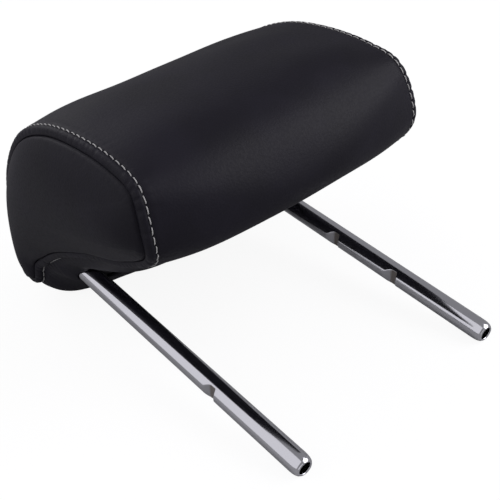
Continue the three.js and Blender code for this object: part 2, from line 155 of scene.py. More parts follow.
def smoothstep(value, low, high):
    """0 below low, 1 above high, and 3t² - 2t³ of the share t of the way between them."""
    share = np.clip((value - low) / (high - low), 0, 1)
    return share * share * (3 - 2 * share)


def gauss(value, reach):
    """The bell exp(-(value / reach)²)."""
    return np.exp(-((value / reach) ** 2))


def spaced(*stops):
    """Numbers from the first stop to the last, each stop a pair of a place and the step that leads to it."""
    parts = [np.array([stops[0][0]])]
    for (start, _), (end, step) in zip(stops[:-1], stops[1:]):
        count = max(1, math.ceil(abs(end - start) / step))
        parts.append(np.linspace(start, end, count + 1)[1:])
    return np.concatenate(parts)


def round_noise(count, length, longest, shortest, seed):
    """Noise that closes on itself round a length: waves between two wavelengths with seeded phases and
    strengths, summed, and scaled to a standard deviation of 1."""
    random = np.random.default_rng(seed)
    waves = np.arange(max(1, math.ceil(length / longest)), math.floor(length / shortest) + 1)
    phase = random.uniform(0, TAU, len(waves))
    strength = random.normal(size=len(waves))
    place = np.arange(count) / count
    noise = np.sum(strength[:, None] * np.cos(TAU * waves[:, None] * place + phase[:, None]), axis=0)
    return noise / noise.std()


# The frame of the posts

def post_axes():
    """The middle of the post tips and the directions across, along the posts and away from their plane,
    read from the two tip mounts, which lie a little above the middle of each tip's hole."""
    mounts = {mount["name"]: mount for mount in frame["record"]["mounts"]}
    tips = [mounts[name] for name in ("left_post_tip", "right_post_tip")]
    middle = np.mean([tip["pos_m"] for tip in tips], axis=0)
    along = -np.array(tips[0]["axis"], float)
    along /= np.linalg.norm(along)
    across = np.array([1.0, 0.0, 0.0])
    away = np.cross(across, along)
    return middle - TIP_CENTRE_LIFT * away, np.stack([across, along, away])


ORIGIN, AXES = post_axes()


def place(points):
    """Points in the frame of the posts, carried to the frame of the part."""
    return ORIGIN + np.asarray(points) @ AXES


# Meshes

def grid_quads(rows, columns, wrap_rows=False, wrap_columns=False):
    """Quads between neighbouring points of a grid. A wrapped direction joins its last line to its first."""
    index = np.arange(rows * columns).reshape(rows, columns)
    if wrap_rows:
        index = np.vstack([index, index[:1]])
    if wrap_columns:
        index = np.hstack([index, index[:, :1]])
    corners = (index[:-1, :-1], index[:-1, 1:], index[1:, 1:], index[1:, :-1])
    return np.stack(corners, axis=-1).reshape(-1, 4)


def fan(ring, pole):
    """Triangles from each side of a closed ring of point numbers to a pole."""
    return np.stack([ring, np.roll(ring, -1), np.full(len(ring), pole)], axis=-1)


def sleeve_faces(rows, columns):
    """Quads between the rings of a sleeve, and fans that close its first and last ring. The two poles are
    numbered after the points of the rings."""
    ring = np.arange(columns)
    first = fan(ring[::-1], rows * columns)
    last = fan(ring + (rows - 1) * columns, rows * columns + 1)
    return grid_quads(rows, columns, wrap_columns=True), np.vstack([first, last])


def enclosed_volume(points, faces):
    """Sum over the faces, as fans of triangles, of a sixth of the corners' triple product."""
    total = 0.0
    for second in range(1, faces.shape[1] - 1):
        a, b, c = points[faces[:, 0]], points[faces[:, second]], points[faces[:, second + 1]]
        total += np.einsum("ij,ij->", a, np.cross(b, c)) / 6
    return total


def add_piece(name, points, *face_sets, attributes=()):
    """A smooth mesh object from points in the frame of the posts and arrays of faces, turned so that its
    faces point outwards."""
    points = place(points.reshape(-1, 3))
    middle = points.mean(axis=0)
    if sum(enclosed_volume(points - middle, faces) for faces in face_sets) < 0:
        face_sets = [faces[:, ::-1] for faces in face_sets]
    mesh = bpy.data.meshes.new(name)
    faces = [corners for faces in face_sets for corners in faces.tolist()]
    mesh.from_pydata(points.tolist(), [], faces)
    mesh.shade_smooth()
    for label, values in attributes:
        layer = mesh.attributes.new(label, "FLOAT", "POINT")
        layer.data.foreach_set("value", np.ascontiguousarray(values, np.float32).ravel())
    piece = bpy.data.objects.new(name, mesh)
    bpy.context.scene.collection.objects.link(piece)
    return piece


def add_sleeve(name, rings):
    """A piece from rings, closed by a pole in the middle of the first ring and of the last one."""
    poles = rings[[0, -1]].mean(axis=1)
    points = np.concatenate([rings.reshape(-1, 3), poles])
    return add_piece(name, points, *sleeve_faces(*rings.shape[:2]))


def cut_away(piece, *cutters):
    """Takes the cutters out of the piece with booleans, and removes them."""
    for cutter in cutters:
        boolean = piece.modifiers.new("cut", "BOOLEAN")
        boolean.operation = "DIFFERENCE"
        boolean.solver = "MANIFOLD"
        boolean.object = cutter
    bpy.context.view_layer.update()
    evaluated = piece.evaluated_get(bpy.context.evaluated_depsgraph_get())
    cut = bpy.data.meshes.new_from_object(evaluated)
    piece.modifiers.clear()
    whole, piece.data = piece.data, cut
    cut.name = piece.name
    bpy.data.meshes.remove(whole)
    for cutter in cutters:
        mesh = cutter.data
        bpy.data.objects.remove(cutter)
        bpy.data.meshes.remove(mesh)


# The outlines of the cushion

def closed_curve(knots, samples):
    """A closed centripetal Catmull-Rom curve. Between two knots it blends the four nearest ones by the
    pyramid of straight mixes of Barry and Goldman, with knot times that grow by the root of the chord."""
    a, b, c, d = (np.roll(knots, shift, axis=0)[:, None] for shift in (1, 0, -1, -2))

    def gap(p, q):
        return np.sqrt(np.linalg.norm(q - p, axis=-1, keepdims=True))

    def mix(p, q, start, end, time):
        return p + (q - p) * (time - start) / (end - start)

    time_a = np.zeros((len(knots), 1, 1))
    time_b = time_a + gap(a, b)
    time_c = time_b + gap(b, c)
    time_d = time_c + gap(c, d)
    time = time_b + (time_c - time_b) * np.linspace(0, 1, samples, endpoint=False)[None, :, None]
    ab = mix(a, b, time_a, time_b, time)
    bc = mix(b, c, time_b, time_c, time)
    cd = mix(c, d, time_c, time_d, time)
    abc = mix(ab, bc, time_a, time_c, time)
    bcd = mix(bc, cd, time_b, time_d, time)
    return mix(abc, bcd, time_b, time_c, time).reshape(-1, 2)


def evenly(curve, count):
    """Points at equal steps along a closed curve, and its length. The first two columns of a point are its
    place; further columns go along with it."""
    closed = np.vstack([curve, curve[:1]])
    steps = np.linalg.norm(np.diff(closed[:, :2], axis=0), axis=1)
    travelled = np.concatenate([[0], np.cumsum(steps)])
    wanted = np.linspace(0, travelled[-1], count, endpoint=False)
    columns = [np.interp(wanted, travelled, closed[:, axis]) for axis in range(closed.shape[1])]
    return np.stack(columns, axis=-1), travelled[-1]


class Outline:
    """The end outline at even stations, with its outward normals, its curvature, the points of the middle
    outline that belong to them, the shares that the front lip, the underside and the heel have in each,
    and how squarely the cover spans from the middle to the topstitch there."""

    def __init__(self, count):
        pair = np.hstack([closed_curve(knots, KNOT_SAMPLES) for knots in (END_OUTLINE, MIDDLE_OUTLINE)])
        pair, length = evenly(pair, count)
        waves = np.fft.fftfreq(count, 1 / count) * TAU / length
        soft = np.exp(-0.5 * (waves * OUTLINE_SMOOTHING) ** 2)[:, None]
        pair = np.real(np.fft.ifft(np.fft.fft(pair, axis=0) * soft, axis=0))
        pair, self.length = evenly(pair, count)
        self.points, self.middle = pair[:, :2], pair[:, 2:]
        self.step = self.length / count
        along = (np.roll(self.points, -1, axis=0) - np.roll(self.points, 1, axis=0)) / (2 * self.step)
        along /= np.linalg.norm(along, axis=1, keepdims=True)
        self.normals = np.stack([along[:, 1], -along[:, 0]], axis=-1)
        turn = (np.roll(along, -1, axis=0) - np.roll(along, 1, axis=0)) / (2 * self.step)
        self.curvature = -np.einsum("ij,ij->i", turn, self.normals)
        self.lip = self.bell(LIP_CENTRE, LIP_REACH)
        self.under = smoothstep(self.normals @ UNDERSIDE_WAY, 0.1, 0.6) * (1 - self.lip)
        self.travel = np.arange(count) * self.step
        self.heel = self.bell(HEEL, HEEL_REACH)

    def bell(self, spot, reach):
        return gauss(np.linalg.norm(self.points - spot, axis=1), reach)

    def edge(self, cushion, side):
        """The end outline of one side. The right end is fuller at the lower corner of its lip: the outline
        moves out there by a bell of the distance from the corner."""
        if side < 0:
            return self.points
        fuller = cushion.corner * self.bell(RIGHT_CORNER, cushion.corner_reach)
        return self.points + fuller[:, None] * self.normals

    def half_width(self, cushion):
        return cushion.stitch_half_width + cushion.lip_extra_width * self.lip

    def squareness(self, cushion):
        top = cushion.top_squareness
        lip = (cushion.lip_squareness - top) * self.lip
        under = (cushion.underside_squareness - top) * self.under
        return top + lip + under + cushion.heel_squareness * self.heel


OUTLINE = Outline(AROUND)


def cover_points(cushion, side, share, roll, curl):
    """Points of the smooth wrapped cover, one row for each share, roll and curl, one column for each
    station of the outline. Over the share s of the half width the profile goes from the middle outline
    to the end outline as end + (middle - end) · (1 - s^squareness). Then the border follows a quarter
    ellipse through the roll, and a small quarter circle of the curl turns down into the seam."""
    share, roll, curl = (np.asarray(value, float)[:, None] for value in (share, roll, curl))
    side = np.asarray(side, float)[:, None]
    across = share * OUTLINE.half_width(cushion) + cushion.border_width * np.sin(roll)
    across = across - cushion.seam_curl * (1 - np.cos(curl))
    drop = cushion.border_drop * (1 - np.cos(roll)) + cushion.seam_curl * np.sin(curl)
    span = (1 - share ** OUTLINE.squareness(cushion))[..., None]
    edge = np.where(side[..., None] > 0, OUTLINE.edge(cushion, RIGHT), OUTLINE.edge(cushion, LEFT))
    profile = edge + (OUTLINE.middle - edge) * span
    x = np.broadcast_to(side * across, profile.shape[:2])
    drop = drop + post_dimples(cushion, x, profile[..., 1]) * OUTLINE.under
    profile = profile - drop[..., None] * OUTLINE.normals
    return np.concatenate([x[..., None], profile], axis=-1)


def post_dimples(cushion, x, z):
    """How far the cover is drawn in round the two posts: a bell of the distance from a line along y, which
    lies a little inside each post, less a narrower bell for the rim that stands up outside the post."""
    apart = np.hypot(np.abs(x) - cushion.dimple_x, z - cushion.dimple_z)
    from_rim = np.hypot(np.abs(x) - cushion.rim_x, z - cushion.rim_z)
    rim = cushion.rim * gauss(from_rim, cushion.rim_reach)
    return cushion.dimple * gauss(apart, cushion.dimple_reach) - rim


def surface_normals(points):
    """Unit normals of a grid of points that closes on itself along its columns, pointing outwards from the
    cushion: the cross product of the central differences along columns and rows."""
    along = np.roll(points, -1, axis=1) - np.roll(points, 1, axis=1)
    across = np.gradient(points, axis=0)
    normal = np.cross(along, across)
    normal /= np.linalg.norm(normal, axis=-1, keepdims=True)
    outward = points[len(points) // 2] - points[len(points) // 2].mean(axis=0)
    facing = np.einsum("ij,ij->", normal[len(points) // 2], outward)
    return normal * np.sign(facing)


def border_length(cushion):
    """Length of the border's quarter ellipse, by the mean of its two half widths."""
    return QUARTER * (cushion.border_width + cushion.border_drop) / 2


def pucker_pattern(side, sharpness, seed):
    """Gathers round an end, from 0 to about 2: seeded noise of short waves, kept where it is positive and
    raised to a power so that it pinches, and stronger where the outline turns."""
    noise = round_noise(AROUND, OUTLINE.length, 13 * MM, 4.6 * MM, seed + side)
    slow = round_noise(AROUND, OUTLINE.length, 120 * MM, 30 * MM, seed + 10 + side)
    turning = 0.55 + 0.75 * smoothstep(np.abs(OUTLINE.curvature), 8, 45) + 0.2 * slow
    return np.clip(noise + 0.3, 0, 2.2) ** sharpness * np.clip(turning, 0.15, 1.6)


def stitch_count(stitches):
    return round(OUTLINE.length / stitches.pitch)


def needle_holes(stitches):
    """1 at each needle hole of the topstitch and 0 between, a bell for each hole."""
    count = stitch_count(stitches)
    pitch = OUTLINE.length / count
    phase = np.mod(OUTLINE.travel / pitch, 1)
    return gauss((phase - 0.5) * pitch, NEEDLE_HOLE_REACH)


def soft_swell(across):
    """Slow unevenness of the padding under the leather: the product of a few long seeded waves round the
    outline and across the cushion."""
    random = np.random.default_rng(31)
    total = np.zeros((len(across), AROUND))
    place = OUTLINE.travel / OUTLINE.length
    for _ in range(14):
        waves, phase = random.integers(2, 14), random.uniform(0, TAU)
        reach, shift = random.uniform(55, 190) * MM, random.uniform(0, TAU)
        total += np.cos(TAU * waves * place + phase) * np.cos(TAU * across[:, None] / reach + shift)
    return total / total.std()


def cover_relief(cushion, stitches, side, share, roll):
    """What stands out of or sinks into the smooth cover: the furrow of the topstitch with its needle holes,
    the roll and the gathers of the border, the pull of the stitches on the panel, the low shoulder beside
    the furrow, the soft swell, and the fuller top on the left."""
    half = cushion.stitch_half_width
    beside = np.where(roll > 0, roll / QUARTER * border_length(cushion), (share - 1) * half)[:, None]
    on_border = np.clip(beside / border_length(cushion), 0, 1)
    left = pucker_pattern(LEFT, 1.2, 5)
    right = pucker_pattern(RIGHT, 1.2, 5)
    gathers = np.where(side[:, None] < 0, left, right)
    furrow = -(cushion.furrow + cushion.needle_dip * needle_holes(stitches)) * gauss(beside, FURROW_REACH)
    border_roll = cushion.border_puff * np.sin(math.pi * on_border)
    border_gathers = -cushion.pucker * gathers * np.sin(math.pi * on_border) ** 0.8
    inboard = np.clip(-beside, 0, None)
    pull_share = gauss(inboard, PULL_REACH) * (1 - gauss(inboard, PULL_START))
    pull = -PULL_SHARE * cushion.pucker * gathers * pull_share
    shoulder = SHOULDER_SHARE * cushion.furrow * gauss(inboard - SHOULDER_PLACE, SHOULDER_REACH)
    swell = cushion.swell * soft_swell(side * share * half) * smoothstep(inboard, SWELL_START, SWELL_FULL)
    on_left = gauss(side[:, None] * share[:, None] - LEFT_TOP_SHARE, LEFT_TOP_SHARE_REACH)
    fuller = cushion.left_top * OUTLINE.bell(LEFT_TOP, LEFT_TOP_REACH) * on_left
    return furrow + border_roll + border_gathers + pull + shoulder + swell + fuller


def cover_profile(cushion):
    """The rows of the cover from one seam to the other: side, share, roll and curl of each, close together
    at the topstitch and on the border."""
    half = cushion.stitch_half_width
    inboard = spaced(
        (0, 1), (1 * MM, 0.25 * MM), (3 * MM, 0.45 * MM), (9 * MM, 1 * MM), (30 * MM, 1.8 * MM),
        (half, 5 * MM),
    )
    length = border_length(cushion)
    border = spaced((0, 1), (1.2 * MM, 0.25 * MM), (length, 0.55 * MM))[1:]
    curl = np.linspace(0, QUARTER, 5)[1:]
    share = np.concatenate([1 - inboard[::-1] / half, np.ones(len(border) + len(curl))])
    border_roll = border / length * QUARTER
    roll = np.concatenate([np.zeros(len(inboard)), border_roll, np.full(len(curl), QUARTER)])
    curled = np.concatenate([np.zeros(len(inboard) + len(border)), curl])
    side = np.ones(len(share))
    half_rows = np.stack([side, share, roll, curled])
    mirrored = half_rows[:, :0:-1] * np.array([-1, 1, 1, 1])[:, None]
    return np.concatenate([mirrored, half_rows], axis=1)


def slot_cutter(cushion, side):
    """A prism along the post in the shape of the slot: a half circle round the outer side of the post, and
    another that lies further towards the middle of the cushion."""
    angle = np.linspace(0, TAU, 96, endpoint=False)
    towards_middle = cushion.slot_reach * smoothstep(-side * np.cos(angle), -0.05, 0.05)
    x = side * cushion.slot_x + cushion.slot_radius * np.cos(angle) - side * towards_middle
    z = cushion.slot_radius * np.sin(angle)
    y = spaced((SLOT_START, 1), (SLOT_END, 12 * MM))[:, None]
    return add_sleeve("slot_cutter", np.stack(np.broadcast_arrays(x, y, z), axis=-1))


def box_cutter(middle, turn, size):
    """A box of a size, turned about x, with its middle at a place in the post frame."""
    corner = np.array([[x, y, z] for x in (-0.5, 0.5) for y in (-0.5, 0.5) for z in (-0.5, 0.5)]) * size
    c, s = math.cos(turn), math.sin(turn)
    turned = corner @ np.array([[1, 0, 0], [0, c, s], [0, -s, c]]) + middle
    quads = np.array([(0, 1, 3, 2), (4, 6, 7, 5), (0, 4, 5, 1), (2, 3, 7, 6), (0, 2, 6, 4), (1, 5, 7, 3)])
    return add_piece("box_cutter", turned, quads)


# Panel that closes each end

def inner_depth(points, edge):
    """How deep points lie inside an outline: the root of 2 over the sum of the outline's steps, each over
    the cube of its distance. Near a straight edge this is the distance to it, and it stays smooth inside."""
    depth = np.empty(points.shape[:-1])
    for row, ring in enumerate(points):
        apart = np.linalg.norm(ring[:, None] - edge[None], axis=-1)
        depth[row] = np.sqrt(2 / np.sum(OUTLINE.step / apart ** 3, axis=1))
    return depth


def end_rings(cushion, side, inset=0.0, fine=True):
    """Rings of an end panel from the seam to its middle. Close to the seam a ring is the seam moved square
    to itself; further in, rings run straight to the middle of the crown. The crown's height is
    crown · (1 - (1 - depth / reach) ^ power), and the lip's extra width fades inwards with the cube of the
    share of the way that is left to the middle."""
    drop = cushion.border_drop
    near = (0.85, 0.95, 1.15, 1.5, 2, 2.7, 3.6, 4.7, 6) if fine else (1, 3, 6)
    near = np.array(near) * MM + inset
    shares = np.linspace(1, 0, 40 if fine else 12)[1:-1]
    edge = OUTLINE.edge(cushion, side)
    offset = edge - (drop + near)[:, None, None] * OUTLINE.normals
    inward = CROWN_CENTRE + shares[:, None, None] * (offset[-1] - CROWN_CENTRE)
    flat = np.concatenate([offset, inward])
    depth = inner_depth(flat, edge) - drop
    further = near[-1] + (1 - shares) * 60 * MM
    exact = np.concatenate([near, further])[:, None]
    sure = smoothstep(exact, 2.5 * MM, 6 * MM)
    depth = depth * sure + exact * (1 - sure)
    outward = np.concatenate([np.ones(len(near)), shares])[:, None]
    middle_width = cushion.stitch_half_width + cushion.border_width
    width = middle_width + cushion.lip_extra_width * OUTLINE.lip * outward ** 3
    rise = np.clip(depth / cushion.crown_reach, 0, 1)
    crown = cushion.crown * (1 - (1 - rise) ** cushion.crown_power)
    x = width + crown - inset
    if fine:
        gathers = pucker_pattern(side, 1.1, 40)
        pull = END_PULL_SHARE * cushion.pucker * gathers * gauss(exact - END_PULL_PLACE, END_PULL_PLACE)
        x = x - cushion.seam_tuck * gauss(exact - near[0], SEAM_TUCK_REACH) - pull
    x = side * x
    return np.concatenate([x[..., None], flat], axis=-1)


def end_panel(cushion, side, name):
    """An end panel with a wall: its outer rings, closed by a pole at the middle, and its inner ones."""
    outer = end_rings(cushion, side)
    inner = end_rings(cushion, side, cushion.leather, fine=False)
    return add_sleeve(name, np.concatenate([inner[::-1], outer]))


# Frame tube

def tube_path(posts, tip_rows):
    """The left half of the tube's middle line: up the post, round the hairpin, along the arm and round the
    bend into the cross-bar. Returns points, directions, and directions in the plane of the hairpin."""
    straight = np.concatenate([tip_rows, spaced(
        (9 * MM, 1), (69 * MM, 6 * MM), (86 * MM, 0.4 * MM), (124 * MM, 6 * MM), (140 * MM, 0.4 * MM),
        (HAIRPIN_Y, 6 * MM),
    )])
    x = -posts.spacing / 2
    zero = np.zeros_like(straight)
    post = np.stack([zero + x, straight, zero], axis=-1)
    post_way = np.stack([zero, zero + 1, zero], axis=-1)
    turn = np.linspace(0, HAIRPIN_TURN, BEND_STEPS * 2)[1:]
    level = np.zeros_like(turn)
    hairpin = np.stack([
        level + x, HAIRPIN_Y + BEND_RADIUS * np.sin(turn), BEND_RADIUS * (1 - np.cos(turn)),
    ], axis=-1)
    hairpin_way = np.stack([level, np.cos(turn), np.sin(turn)], axis=-1)
    arm = hairpin_way[-1]
    elbow = hairpin[-1] + ARM_LENGTH * arm
    bend = np.linspace(0, QUARTER, BEND_STEPS + 1)[:, None]
    across = np.array([1.0, 0.0, 0.0])
    corner = elbow + BEND_RADIUS * ((1 - np.cos(bend)) * across + np.sin(bend) * arm)
    corner_way = np.cos(bend) * arm + np.sin(bend) * across
    points = np.concatenate([post, hairpin, corner])
    ways = np.concatenate([post_way, hairpin_way, corner_way])
    planar = np.concatenate([post_way, hairpin_way, np.repeat(arm[None], len(corner), axis=0)])
    return points, ways, planar


def notch_depth(y, posts, places):
    """Depth of the height notches along a post: a flat floor, a short shoulder on the side of the tip and a
    longer ramp on the side of the cushion."""
    depth = np.zeros_like(y)
    half = posts.notch_floor / 2
    for middle in places:
        shoulder = smoothstep(y, middle - half - NOTCH_SHOULDER, middle - half + 0.2 * MM)
        ramp = 1 - smoothstep(y, middle + half - 0.4 * MM, middle + half + NOTCH_RAMP)
        depth = np.maximum(depth, posts.notch_depth * np.minimum(shoulder, ramp))
    return depth


def tube_mesh(posts, sides, tip_rows, outer_radius, inner_radius):
    """The frame tube as one closed skin: outer rings from the left tip to the right one and bore rings
    back. A ring is a circle round the middle line, cut flat on its -x side where a notch is. Returns the
    middle line, the unit rings, the outer and the inner radii, and how bare the metal is."""
    points, ways, planar = tube_path(posts, tip_rows)
    up = np.cross(planar, [1.0, 0.0, 0.0])
    mirror = np.array([-1.0, 1.0, 1.0])
    centres = np.concatenate([points, (points * mirror)[::-1]])
    ways = np.concatenate([ways, (-ways * mirror)[::-1]])
    up = np.concatenate([up, up[::-1]])
    sideways = np.cross(up, ways)
    angle = np.linspace(0, TAU, sides, endpoint=False)
    ring = sideways[:, None] * np.cos(angle)[None, :, None] + up[:, None] * np.sin(angle)[None, :, None]
    y = points[:, 1]
    on_post = np.arange(len(points)) < np.argmax(y >= HAIRPIN_Y)
    left = notch_depth(y, posts, LEFT_NOTCHES) * on_post
    right = notch_depth(y, posts, RIGHT_NOTCHES) * on_post
    depth = np.concatenate([left, right[::-1]])[:, None]
    facing = np.clip(-ring[..., 0], 1e-3, None)
    outside = np.concatenate([outer_radius(y), outer_radius(y)[::-1]])[:, None]
    inside = np.concatenate([inner_radius(y), inner_radius(y)[::-1]])[:, None]
    notch_wall = 0.8 * (posts.tube_radius - BORE_RADIUS)
    flat = posts.tube_radius - depth
    outer = np.where(depth > 0, np.minimum(outside, flat / facing), outside)
    inner = np.where(depth > 0, np.minimum(inside, (flat - notch_wall) / facing), inside)
    floor = smoothstep(depth, 0.8 * posts.notch_depth, 0.98 * posts.notch_depth)
    bare = floor * np.clip((outside - outer) / (0.15 * MM), 0, 1)
    return centres, ring, np.broadcast_to(outer, facing.shape), np.broadcast_to(inner, facing.shape), bare


def post_rings(posts):
    """Rings of the frame tube with its swaged tips: the wall narrows over the last millimetres of a post
    and rounds over into the bore."""
    lip = (posts.tip_radius - posts.tip_bore) / 2
    round_over = np.linspace(0, QUARTER, 7)
    tip = np.concatenate([lip * (1 - np.cos(round_over)), spaced((lip, 1), (8.5 * MM, 0.5 * MM))[1:]])
    lip_middle = (posts.tip_radius + posts.tip_bore) / 2

    def swage(y, full, end):
        share = np.clip((y - lip) / (posts.tip_taper - lip), 0, 1)
        return end + (full - end) * np.sqrt(1 - (1 - share) ** 2)

    def outer_radius(y):
        over = np.sqrt(np.clip(lip ** 2 - (lip - y) ** 2, 0, None))
        return np.where(y < lip, lip_middle + over, swage(y, posts.tube_radius, posts.tip_radius))

    def inner_radius(y):
        over = np.sqrt(np.clip(lip ** 2 - (lip - y) ** 2, 0, None))
        return np.where(y < lip, lip_middle - over, swage(y, BORE_RADIUS, posts.tip_bore))

    return tube_mesh(posts, TUBE_SIDES, tip, outer_radius, inner_radius)


# Materials

class Number:
    """A value that changes over a surface. It wraps a socket, and arithmetic on it adds Math nodes."""

    def __init__(self, finish, socket):
        self.finish = finish
        self.socket = socket

    def math(self, operation, first, second):
        return self.finish.value("ShaderNodeMath", {"operation": operation}, {0: first, 1: second})

    def __add__(self, other):
        return self.math("ADD", self, other)

    def __radd__(self, other):
        return self.math("ADD", other, self)

    def __sub__(self, other):
        return self.math("SUBTRACT", self, other)

    def __rsub__(self, other):
        return self.math("SUBTRACT", other, self)

    def __mul__(self, other):
        return self.math("MULTIPLY", self, other)

    def __rmul__(self, other):
        return self.math("MULTIPLY", other, self)


class Finish:
    """A material and the ways to add nodes to it."""

    def __init__(self, name):
        self.material = bpy.data.materials.new(name)
        self.material.use_nodes = True
        self.tree = self.material.node_tree
        self.tree.nodes.clear()
        self.output = self.node("ShaderNodeOutputMaterial", {}, {})

    def node(self, kind, settings, sockets):
        """A node of a kind. Its settings come first, then the values or links of its sockets."""
        made = self.tree.nodes.new(kind)
        for name, setting in settings.items():
            setattr(made, name, setting)
        for name, value in sockets.items():
            if isinstance(value, Number):
                value = value.socket
            if isinstance(value, bpy.types.NodeSocket):
                self.tree.links.new(value, made.inputs[name])
            else:
                made.inputs[name].default_value = value
        return made

    def value(self, kind, settings, sockets, output=0):
        return Number(self, self.node(kind, settings, sockets).outputs[output])

    def place(self):
        """Object coordinates, in metres."""
        return self.node("ShaderNodeTexCoord", {}, {}).outputs["Object"]

    def attribute(self, name):
        return self.value("ShaderNodeAttribute", {"attribute_name": name}, {}, "Fac")

    def noise(self, at, scale, detail):
        sockets = {"Vector": at, "Scale": scale, "Detail": detail, "Roughness": 0.5}
        return self.value("ShaderNodeTexNoise", {}, sockets, "Fac")

    def cells(self, at, scale, feature):
        sockets = {"Vector": at, "Scale": scale}
        return self.value("ShaderNodeTexVoronoi", {"feature": feature}, sockets, "Distance")

    def spread(self, value, low, high):
        """A value moved smoothly from a range to 0 to 1, and held at those ends."""
        sockets = {0: value, 1: low, 2: high, 3: 0.0, 4: 1.0}
        return self.value("ShaderNodeMapRange", {"interpolation_type": "SMOOTHSTEP"}, sockets)

    def blend(self, share, first, second):
        """A colour between two colours."""
        sockets = {"Factor": share, 6: first, 7: second}
        return self.node("ShaderNodeMix", {"data_type": "RGBA"}, sockets).outputs[2]

    def bump(self, height, distance, strength, under=None):
        sockets = {"Height": height, "Distance": distance, "Strength": strength}
        if under is not None:
            sockets["Normal"] = under
        return self.node("ShaderNodeBump", {}, sockets).outputs["Normal"]

    def shade(self, **sockets):
        """Ends the material in one Principled shader with these sockets."""
        named = {name.replace("_", " "): value for name, value in sockets.items()}
        shader = self.node("ShaderNodeBsdfPrincipled", {}, named)
        self.tree.links.new(shader.outputs[0], self.output.inputs["Surface"])
        return self.material


def rgb(colour, factor=1.0, more=0.0):
    """A colour with its alpha, each channel multiplied and raised, up to 1."""
    return (*(min(1.0, channel * factor + more) for channel in colour), 1.0)


def leather(name, colour, rough):
    """Smooth black upholstery leather: rounded grain cells with fine pores between them, slow cloudiness
    of the dye, and gloss that changes a little from place to place."""
    finish = Finish(name)
    at = finish.place()
    grain = finish.spread(finish.cells(at, 780.0, "SMOOTH_F1"), 0.1, 0.75)
    pores = finish.noise(at, 2600.0, 1.0)
    clouds = finish.noise(at, 22.0, 3.0)
    base = finish.blend(finish.spread(clouds, 0.3, 0.7), rgb(colour, 0.8), rgb(colour, 1.22))
    gloss = rough + 0.08 * (clouds - 0.5) + 0.06 * grain
    normal = finish.bump(grain, 0.00007, 0.5)
    normal = finish.bump(pores, 0.00002, 0.4, normal)
    return finish.shade(Base_Color=base, Roughness=gloss, Normal=normal, Specular_IOR_Level=LEATHER_SPECULAR)


def polished(name, colour):
    """Bright chrome: near-mirror metal with faint clouds of polish, and dull pressed metal in notches."""
    finish = Finish(name)
    at = finish.place()
    bare = finish.attribute("bare")
    haze = finish.noise(at, 90.0, 3.0)
    scratch = finish.noise(at, 1900.0, 2.0)
    base = finish.blend(bare, rgb(colour), BARE_STEEL)
    gloss = CHROME_GLOSS + 0.06 * haze + NOTCH_GLOSS * bare
    normal = finish.bump(scratch, 0.00001, 0.25)
    return finish.shade(Base_Color=base, Metallic=1.0 - 0.35 * bare, Roughness=gloss, Normal=normal)


def thread_finish(name, colour):
    """Bonded sewing thread: three plies whose twist shows as slanted ridges along each stitch, with painted
    shade darkening the grooves between the ridges, mixed with random fuzz.
    """
    finish = Finish(name)
    at = finish.place()
    fuzz = finish.noise(at, 5200.0, 2.0)
    turn = finish.attribute("twist")
    ridge = finish.value("ShaderNodeMath", {"operation": "SINE"}, {0: turn})
    # Painted shade: the thread is darker in the grooves of the twist and full colour on the ridges, with
    # random fuzz mixed in
    base = finish.blend(finish.spread(ridge + 0.6 * fuzz, -0.9, 0.7), rgb(colour, 0.72), rgb(colour))
    normal = finish.bump(ridge, 0.00008, 0.8)
    return finish.shade(Base_Color=base, Roughness=0.55 + 0.2 * fuzz, Normal=normal)


def grained_plastic(name, colour, rough):
    """Moulded plastic with the fine texture of a spark-eroded mould."""
    finish = Finish(name)
    at = finish.place()
    texture = finish.noise(at, 1500.0, 3.0)
    worn = finish.noise(at, 60.0, 2.0)
    base = finish.blend(finish.spread(worn, 0.35, 0.7), rgb(colour), rgb(colour, 1.5, 0.004))
    normal = finish.bump(texture, 0.00008, 0.35)
    return finish.shade(Base_Color=base, Roughness=rough + 0.12 * texture, Normal=normal)


def open_foam(name, colour):
    """Moulded foam: small open cells under a thin skin."""
    finish = Finish(name)
    at = finish.place()
    cells = finish.cells(at, 1100.0, "F1")
    tone = finish.noise(at, 35.0, 3.0)
    base = finish.blend(finish.spread(tone, 0.3, 0.7), rgb(colour), rgb(colour, 1.35))
    normal = finish.bump(cells, 0.0003, 0.7)
    return finish.shade(Base_Color=base, Roughness=0.92 + 0.05 * tone, Normal=normal)


def plated_steel(name, colour):
    """Zinc-plated steel, bright and slightly clouded."""
    finish = Finish(name)
    at = finish.place()
    clouds = finish.noise(at, 300.0, 4.0)
    base = finish.blend(clouds, rgb(colour, 0.7), rgb(colour))
    return finish.shade(Base_Color=base, Metallic=1.0, Roughness=0.28 + 0.15 * clouds)


def dress(piece, material):
    """Gives a piece or a CAD node one material."""
    piece.data.materials.clear()
    piece.data.materials.append(material)


# Settings

